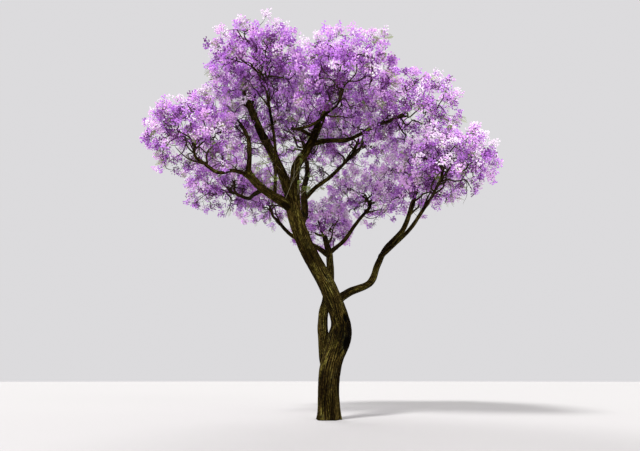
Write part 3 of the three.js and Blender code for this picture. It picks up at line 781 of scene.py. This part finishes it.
def make_panicles(clusters, rng, tubes):
    """Foot, axis, length and painted light, with random tone, of each panicle, with its stalk added to the
    tubes.
    """
    panicles = []
    for place, outward, depth in clusters:
        clump = rng.normal() * PAINTED_LIGHT_AND_TONE.clump
        lean = PANICLES.outward * outward + PANICLES.upward * UP
        for _ in range(PANICLES.each):
            axis = unit(lean + rng.normal(size=3) * PANICLES.scatter)
            length = rng.uniform(*PANICLES.length)
            foot = place + rng.normal(size=3) * PANICLES.apart
            stalk = np.stack([place, foot + axis * length])
            tubes.append((stalk, *PANICLES.stalk, PANICLES.stalk_sides))
            # Painted light and shade: darker deep in the mass, lighter facing up; clump and scatter add
            # random tone
            painted_light_and_tone = (depth + PAINTED_LIGHT_AND_TONE.upward * outward[2] + clump
                          + rng.normal() * PAINTED_LIGHT_AND_TONE.scatter)
            panicles.append((foot, axis, length, painted_light_and_tone))
    return panicles


def deal_shades(painted_light_and_tone):
    """Which shade each panicle takes: painted light makes the palest outside and on top, painted shade the
    deepest inside.
    """
    order = np.argsort(np.argsort(painted_light_and_tone)) / len(painted_light_and_tone)
    bounds = np.cumsum([share for share, _ in PETAL_PAINTED_SHADES.values()])
    return np.minimum(np.searchsorted(bounds, order, side="right"), len(PETAL_PAINTED_SHADES) - 1)


def flower_mesh(panicles, rng):
    """All the flowers of some panicles as one set of triangles."""
    template, template_faces = flower_template()
    foot, axis, length = (np.array([item[part] for item in panicles]) for part in range(3))
    across, upward = any_frame(axis)
    number = np.arange(FLOWERS.each)
    even = FLOWERS.first + FLOWERS.run * (number + 0.5) / FLOWERS.each
    along = even[None, :] + rng.normal(size=(len(foot), FLOWERS.each)) * FLOWERS.uneven
    angle = (rng.uniform(0, TURN, (len(foot), 1)) + number[None, :] * GOLDEN_ANGLE)[..., None]
    radial = across[:, None] * np.cos(angle) + upward[:, None] * np.sin(angle)
    spread = PANICLES.radius * (1.0 - FLOWERS.narrowing * along)
    spread = (spread * rng.uniform(*FLOWERS.spread, along.shape))[..., None]
    place = foot[:, None] + axis[:, None] * (along * length[:, None])[..., None] + radial * spread
    facing = (radial * (FLOWERS.outward - FLOWERS.outward_loss * along)[..., None]
              + axis[:, None] * FLOWERS.onward + rng.normal(size=place.shape) * FLOWERS.scatter)
    place, facing = place.reshape(-1, 3), unit(facing).reshape(-1, 3)
    side, over = any_frame(facing)
    size = rng.uniform(*FLOWERS.size, len(place))[:, None, None]
    corners = (side[:, None] * template[None, :, 0:1] + over[:, None] * template[None, :, 1:2]
               + facing[:, None] * template[None, :, 2:3])
    vertices = place[:, None] + corners * size
    faces = template_faces[None] + (np.arange(len(place)) * len(template))[:, None, None]
    return vertices.reshape(-1, 3), faces.reshape(-1, 3)


def leaf_mesh(places, rng):
    """Ferny leaves: a drooping rib with pairs of narrow leaflets, each two triangles."""
    vertices, faces = [], []
    for place, outward in places:
        axis = unit(outward + rng.normal(size=3) * LEAVES.scatter)
        length = rng.uniform(*LEAVES.length)
        across = unit(np.cross(axis, rng.normal(size=3)))
        droop = -LEAVES.droop * UP * length
        wide = axis * LEAFLETS.half_width
        for share in (np.arange(LEAFLETS.pairs) + LEAFLETS.first) / LEAFLETS.pairs:
            root = place + axis * length * share + droop * share ** 2
            outline = math.sin(math.pi * (LEAFLETS.start + LEAFLETS.run * share))
            reach = LEAFLETS.reach * length * outline
            for side in (-1, 1):
                tip = root + (across * side + axis * LEAFLETS.forward) * reach + droop * LEAFLETS.droop
                start = len(vertices)
                vertices += [root, 0.5 * (root + tip) + wide, tip, 0.5 * (root + tip) - wide]
                faces += [(start, start + 1, start + 2), (start, start + 2, start + 3)]
        thin = across * 0.5 * LEAFLETS.half_width
        start = len(vertices)
        vertices += [place - thin, place + thin, place + axis * length + droop]
        faces.append((start, start + 1, start + 2))
    return np.array(vertices), np.array(faces)


def grow_shoots(stems, rng):
    """Young shoots up from the boughs, as tubes, and the tip and heading of each."""
    tubes, tips = [], []
    for index in range(SHOOTS.groups):
        points, _, radius, own = limb_line(SHOOT_HOSTS[index % len(SHOOT_HOSTS)], stems, SHOOTS.apart)
        start = int(rng.uniform(*SHOOTS.share) * own)
        for _ in range(SHOOTS.each):
            sideways, lean = (unit(np.array((*rng.normal(size=2), 0.0))) for _ in range(2))
            length = rng.uniform(*SHOOTS.length)
            root = points[start] + sideways * 0.5 * radius[start]
            out = 0.5 * radius[start] + SHOOT_BEND.out * length
            knots = [root, root + out * sideways + SHOOT_BEND.up * length * UP]
            knots += [root + out * length * sideways + up * length * UP + side * length * lean
                      for out, up, side in SHOOT_ROUTE]
            tubes.append((smooth_route(knots, SHOOTS.spacing)[0], *SHOOTS.radius, SHOOTS.sides))
            tips.append((knots[-1], unit(UP + lean)))
    return tubes, tips


def make_crown(stems, materials):
    """Twigs, the shades of blossom and the leaves, which together replace the masses."""
    rng = np.random.default_rng(SEEDS.crown)
    obstacles = limb_pieces(stems)
    tubes, clusters = [], []
    forks = []
    for name in MASSES:
        forks.extend(grow_mass(name, stems, rng, obstacles, tubes, clusters))
    grow_crooked_twigs(stems, forks, rng, obstacles, tubes, clusters)
    panicles = make_panicles(clusters, rng, tubes)
    shades = deal_shades(np.array([item[3] for item in panicles]))
    for index, shade in enumerate(PETAL_PAINTED_SHADES):
        chosen = [item for item, dealt in zip(panicles, shades) if dealt == index]
        add_piece("flowers_" + shade, "blossom", materials[shade], False, *flower_mesh(chosen, rng))
    twigs = add_piece("twigs", "bark", materials["twig"], True, *tube_meshes(tubes))
    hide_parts(*MASSES)
    shoots, shoot_tips = grow_shoots(stems, rng)
    add_piece("shoots", "bark", materials["shoot"], True, *tube_meshes(shoots))
    leafy = [(place, outward) for place, outward, _ in clusters if rng.random() < LEAVES.share]
    leafy = [leaf for leaf in leafy + shoot_tips for _ in range(LEAVES.each)]
    add_piece("leaves", "blossom", materials["leaf"], False, *leaf_mesh(leafy, rng))


# Materials

def new_material(name, roughness, gloss=0.2):
    """A material with its node tree and shader."""
    material = bpy.data.materials.new(name)
    material.use_nodes = True
    shader = material.node_tree.nodes["Principled BSDF"]
    shader.inputs["Roughness"].default_value = roughness
    shader.inputs["Specular IOR Level"].default_value = gloss
    return material, material.node_tree, shader


def feed(tree, socket, value):
    """Links another socket to this one, or gives it a plain value."""
    if isinstance(value, bpy.types.NodeSocket):
        tree.links.new(value, socket)
    else:
        socket.default_value = value


def add_node(tree, kind, **inputs):
    """A new node with its named inputs fed."""
    node = tree.nodes.new("ShaderNode" + kind)
    for name, value in inputs.items():
        feed(tree, node.inputs[name], value)
    return node


def ramp(tree, factor, stops):
    """Colour from a ramp with the given (place, colour) stops."""
    node = add_node(tree, "ValToRGB", Fac=factor)
    while len(node.color_ramp.elements) < len(stops):
        node.color_ramp.elements.new(0.5)
    for element, (place, colour) in zip(node.color_ramp.elements, stops):
        element.position = place
        element.color = (*colour, 1)
    return node.outputs["Color"]


def noise(tree, vector, scale, detail, stretch=(1, 1, 1)):
    """Noise in the given coordinates."""
    mapping = add_node(tree, "Mapping", Scale=stretch, Vector=vector)
    node = add_node(tree, "TexNoise", Scale=scale, Detail=detail, Vector=mapping.outputs["Vector"])
    return node.outputs["Fac"]


def mix(tree, factor, first, second, mode="MIX"):
    """Mixes two colours, each a socket or plain numbers, by a factor of either kind."""
    node = tree.nodes.new("ShaderNodeMix")
    node.data_type = "RGBA"
    node.blend_type = mode
    for socket, value in (("Factor", factor), (6, first), (7, second)):
        feed(tree, node.inputs[socket], value)
    return node.outputs[2]


def attribute(tree, name):
    """A node that reads one of the mesh's own values."""
    node = tree.nodes.new("ShaderNodeAttribute")
    node.attribute_name = name
    return node


def bump(tree, shader, height, strength, distance):
    """Fine bumps on the surface from a height socket."""
    node = add_node(tree, "Bump", Strength=strength, Distance=distance, Height=height)
    tree.links.new(node.outputs["Normal"], shader.inputs["Normal"])


def halfway(tree, first, second):
    """Two grey sockets, half of each."""
    return add_node(tree, "Mix", Factor=0.5, A=first, B=second).outputs["Result"]


def bark_plates(tree, vector):
    """Long wandering plates of bark: how far the crack between them is, and a tone for each."""
    wander = add_node(tree, "TexNoise", Scale=BARK_PLATES.wander_scale, Vector=vector)
    wandering = mix(tree, BARK_PLATES.wander, vector, wander.outputs["Color"], "ADD")
    mapping = add_node(tree, "Mapping", Scale=BARK_PLATES.size, Vector=wandering)
    edge, plate = (add_node(tree, "TexVoronoi", Scale=1, Vector=mapping.outputs["Vector"]) for _ in range(2))
    edge.feature = "DISTANCE_TO_EDGE"
    return edge.outputs["Distance"], plate.outputs["Color"]


def bark_material():
    """Near-black furrows of painted shade, brown ridges with a painted highlight, olive streaks down the
    limb, dull crusts of lichen and painted shade in the cracks.
    """
    material, tree, shader = new_material("bark", roughness=0.92, gloss=0.03)
    along = attribute(tree, "straight").outputs["Vector"]

    def pattern(name):
        scale, detail, stretch = BARK_PATTERNS[name]
        return noise(tree, along, scale, detail, (1, 1, stretch))

    def toned(name, factor):
        return ramp(tree, factor, BARK_TONES[name])

    grain = pattern("grain")
    crack, tone = bark_plates(tree, along)
    plate = toned("plate", crack)
    height = halfway(tree, attribute(tree, "relief_and_painted_shade").outputs["Fac"], grain)
    # Tones by height: partly the bark's own, partly painted shade in the furrows and a painted highlight on
    # the ridges
    brown, olive = toned("brown", height), toned("olive", height)
    colour = mix(tree, toned("streaks", pattern("streaks")), brown, olive)
    patches, specks = (toned(name, pattern(name)) for name in ("patches", "specks"))
    crust = toned("crust", height)
    colour = mix(tree, mix(tree, 1.0, patches, specks, "MULTIPLY"), colour, crust)
    # Large random darker patches, and small dark flecks
    for name in ("large_dark_patches", "flecks"):
        colour = mix(tree, 1.0, colour, toned(name, pattern(name)), "MULTIPLY")
    # The shade ramp is a random tone for each plate; the deep ramp is painted shade in the cracks between
    # plates
    for name, factor in (("shade", tone), ("deep_painted_shade", crack)):
        colour = mix(tree, 1.0, colour, toned(name, factor), "MULTIPLY")
    tree.links.new(colour, shader.inputs["Base Color"])
    bump(tree, shader, halfway(tree, plate, grain), strength=1.0, distance=0.022)
    return material


def wood_material(name, dark, light, roughness=0.9):
    """Thin wood, blotched between two tones."""
    material, tree, shader = new_material(name, roughness, gloss=0.05)
    grain = noise(tree, tree.nodes.new("ShaderNodeTexCoord").outputs["Object"], scale=14.0, detail=4.0)
    tree.links.new(ramp(tree, grain, [(0.3, dark), (0.7, light)]), shader.inputs["Base Color"])
    bump(tree, shader, grain, strength=0.3, distance=0.004)
    return material


def soft_material(name, colour, roughness=0.55):
    """Thin petal or leaf: a plain base colour with a slight speckle and a soft sheen."""
    material, tree, shader = new_material(name, roughness, gloss=0.25)
    speckle = noise(tree, tree.nodes.new("ShaderNodeTexCoord").outputs["Object"], scale=23.0, detail=2.0)
    dark, light = (tuple(min(1, tone * part) for part in colour) for tone in SPECKLE_TONES)
    tree.links.new(ramp(tree, speckle, [(0.3, dark), (0.7, light)]), shader.inputs["Base Color"])
    shader.inputs["Sheen Weight"].default_value = 0.15
    return material


# Stage

def add_floor():
    """Pale round floor, far wider than the picture."""
    angle = TURN * np.arange(FLOOR_CORNERS) / FLOOR_CORNERS
    corners = np.column_stack([FLOOR_RADIUS * np.cos(angle), FLOOR_RADIUS * np.sin(angle),
                               np.full(FLOOR_CORNERS, FLOOR_LEVEL)])
    floor = add_mesh("floor", corners, np.arange(FLOOR_CORNERS)[None])
    material, _, shader = new_material("floor", roughness=0.95)
    shader.inputs["Base Color"].default_value = FLOOR_GREY
    floor.data.materials.append(material)


def add_lights(scene):
    """Even light from all round and three soft suns."""
    world = bpy.data.worlds.new("studio")
    world.use_nodes = True
    background = world.node_tree.nodes["Background"].inputs
    background["Color"].default_value = SKY.colour
    background["Strength"].default_value = SKY.strength
    scene.world = world
    for name, sun in SUNS.items():
        light = bpy.data.lights.new(name, "SUN")
        light.energy = sun.energy
        light.angle = math.radians(sun.softness)
        lamp = bpy.data.objects.new(name, light)
        lamp.rotation_euler = (math.radians(sun.tilt), 0, math.radians(sun.turn))
        scene.collection.objects.link(lamp)


def add_camera(scene):
    """Camera with a wide view up to the crown."""
    data = bpy.data.cameras.new("camera")
    data.sensor_width = SENSOR_WIDTH
    data.lens = CAMERA_FOCAL_PIXELS / PICTURE_WIDTH * SENSOR_WIDTH
    data.clip_end = CAMERA_REACH
    camera = bpy.data.objects.new("camera", data)
    camera.location = CAMERA_PLACE
    camera.rotation_euler = (math.radians(90) + CAMERA_PITCH, 0, CAMERA_YAW)
    scene.collection.objects.link(camera)
    scene.camera = camera


bpy.context.scene.view_settings.view_transform = "Standard"
add_floor()
add_lights(bpy.context.scene)
add_camera(bpy.context.scene)

stem_places = np.random.default_rng(SEEDS.stems)
stems = {MASSES[name][0]: stem_knots(name, stem_places) for name in MASSES}
bark = bark_material()
make_trunk(bark)
for number, limb_name in enumerate(LIMBS):
    make_limb(limb_name, stems, SEEDS.limbs + SEEDS.per_limb * number, bark)

finishes = {shade: soft_material("petal_" + shade, colour) for shade, (_, colour) in PETAL_PAINTED_SHADES.items()}
finishes["leaf"] = soft_material("leaf", LEAF_GREEN, roughness=0.5)
finishes["twig"] = wood_material("twig_wood", *TWIG_BROWNS)
shoot_dark = tuple(SHOOT_SHADE * part for part in SHOOT_STRAW)
finishes["shoot"] = wood_material("young_wood", shoot_dark, SHOOT_STRAW, roughness=0.7)
make_crown(stems, finishes)
